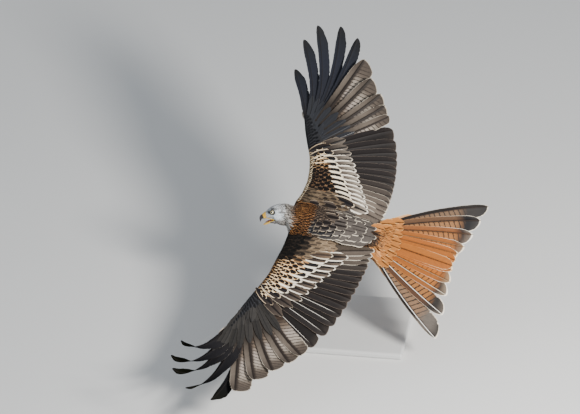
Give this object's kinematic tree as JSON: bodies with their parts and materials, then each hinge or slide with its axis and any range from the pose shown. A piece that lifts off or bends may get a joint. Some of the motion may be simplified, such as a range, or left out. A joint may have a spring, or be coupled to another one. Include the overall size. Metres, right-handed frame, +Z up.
{
  "type": "red kite bird, still life-size model",
  "caption": "Life-size red kite banking in flight with spread flight feathers and a forked tail, held by a rod on a flat display base.",
  "frame": {"origin": "middle of the underside of the display base, which rests on the floor", "axes": "+Z up, +Y along the spread of the wings towards the raised right wing, +X towards the tail, so the bird faces -X"},
  "size_m": [0.8564, 1.4034, 0.6456],
  "materials": {
    "head_plumage": "fine grey-white feathers with dark streaks",
    "body_plumage": "rufous feathers with dark centres",
    "tail_plumage": "orange-rufous tail feathers",
    "wing_plumage": "dark brown and black wing feathers with pale fringes",
    "yellow_skin": "yellow bare skin",
    "horn": "black horn",
    "eye": "wet pale yellow eye with a black pupil",
    "stand_board": "satin grey paint",
    "stand_steel": "brushed"
  },
  "bodies": {
    "root": {"head": "head_plumage", "neck": "body_plumage", "torso": "body_plumage", "tail": "tail_plumage", "wing_left_arm": "wing_plumage", "wing_left_hand": "wing_plumage", "wing_right_arm": "wing_plumage", "wing_right_hand": "wing_plumage", "leg_left": "body_plumage", "leg_right": "body_plumage", "foot_left": "yellow_skin", "foot_right": "yellow_skin", "claw_left_1": "horn", "claw_left_2": "horn", "claw_left_3": "horn", "claw_left_4": "horn", "claw_right_1": "horn", "claw_right_2": "horn", "claw_right_3": "horn", "claw_right_4": "horn", "cere": "yellow_skin", "bill_upper": "horn", "bill_lower": "horn", "eye_left": "eye", "eye_right": "eye", "stand_base": "stand_board", "stand_rod": "stand_steel", "stand_collar": "stand_steel"}
  },
  "joints": []
}
